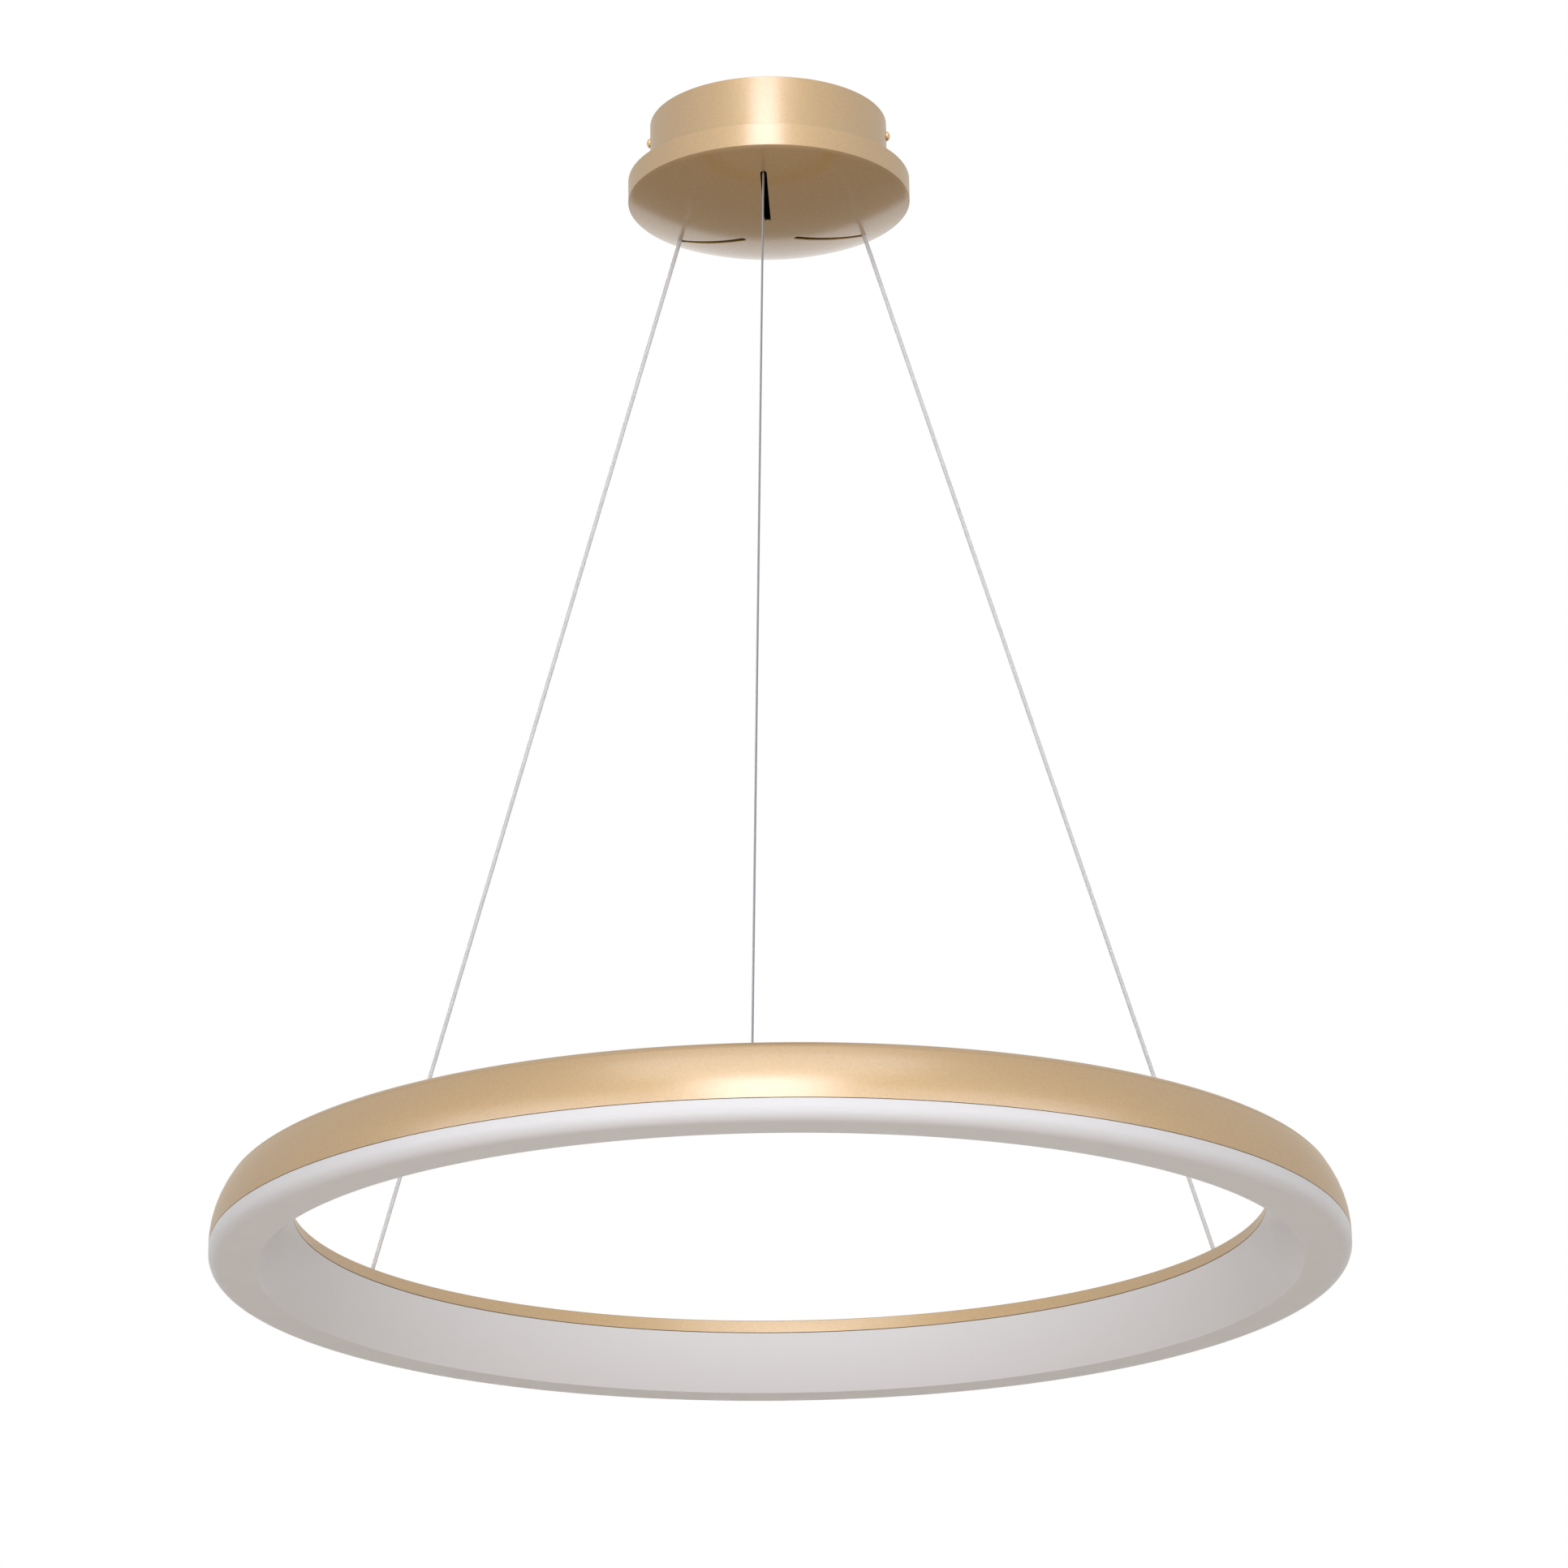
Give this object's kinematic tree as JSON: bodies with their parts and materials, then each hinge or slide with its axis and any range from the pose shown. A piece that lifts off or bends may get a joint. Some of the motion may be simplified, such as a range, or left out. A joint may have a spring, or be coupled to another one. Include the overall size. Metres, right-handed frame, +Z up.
{
  "type": "led ring chandelier",
  "caption": "Ring-shaped LED ceiling pendant: gold channel with an opal light cover, hung by taut cables from a round domed canopy with radial cable slots.",
  "frame": {"origin": "centre of the ceiling bracket's top face, where the lamp meets the ceiling", "axes": "+Z up towards the ceiling, -Y towards the bare steel rope, +X towards the right-hand side screw"},
  "size_m": [0.7999, 0.8, 0.88],
  "materials": {
    "canopy_gold": "satin champagne-gold plated steel",
    "ring_gold": "satin champagne-gold anodised, fine sandy sparkle",
    "zinc_steel": "bright zinc-plated sheet and screws",
    "nickel": "nickel-plated turned brass",
    "rope_steel": "bare stranded steel rope",
    "clear_jacket": "clear jacket over twisted metal strands",
    "opal": "translucent opal acrylic, lit from inside",
    "board": "white coated flexible circuit",
    "emitter": "yellow phosphor over a white package",
    "driver_shell": "light grey moulded plastic",
    "terminal_shell": "white moulded plastic",
    "brass": "plain brass"
  },
  "bodies": {
    "canopy": {"ceiling_bracket": "zinc_steel", "canopy_drum": "canopy_gold", "carrier_plate": "zinc_steel", "canopy_cover": "canopy_gold", "cover_nuts": "zinc_steel", "drum_screws": "zinc_steel", "side_screws": "canopy_gold", "cable_grippers": "nickel", "gripper_nuts": "nickel", "rope_tail": "rope_steel", "conductor_tails": "clear_jacket", "cable_near": "rope_steel", "cable_right": "clear_jacket", "cable_left": "clear_jacket", "driver_case": "driver_shell", "driver_lid": "driver_shell", "driver_screws": "zinc_steel", "terminal_block": "terminal_shell", "terminal_screws": "brass", "block_screws": "zinc_steel", "earth_terminal": "brass"},
    "plunger_near": {"plunger_near": "nickel"},
    "plunger_right": {"plunger_right": "nickel"},
    "plunger_left": {"plunger_left": "nickel"},
    "ring": {"ring_channel": "ring_gold", "ring_diffuser": "opal", "led_strips": "board", "led_chips": "emitter", "cable_anchors": "nickel", "anchor_nuts": "nickel", "rope_end": "rope_steel", "conductor_ends": "clear_jacket", "end_ferrules": "nickel"}
  },
  "joints": [
    {"name": "ring_height", "type": "slide", "parent": "canopy", "child": "ring", "axis": [0, 0, 1], "range_m": [0, 0.5], "deforming": ["cable_near", "cable_right", "cable_left"]},
    {"name": "plunger_near_push", "type": "slide", "parent": "canopy", "child": "plunger_near", "axis": [0, 0, 1], "range_m": [0, 0.0018], "stiffness_N_per_m": 1500, "springref_m": -0.001},
    {"name": "plunger_right_push", "type": "slide", "parent": "canopy", "child": "plunger_right", "axis": [0, 0, 1], "range_m": [0, 0.0018], "stiffness_N_per_m": 1500, "springref_m": -0.001},
    {"name": "plunger_left_push", "type": "slide", "parent": "canopy", "child": "plunger_left", "axis": [0, 0, 1], "range_m": [0, 0.0018], "stiffness_N_per_m": 1500, "springref_m": -0.001}
  ]
}
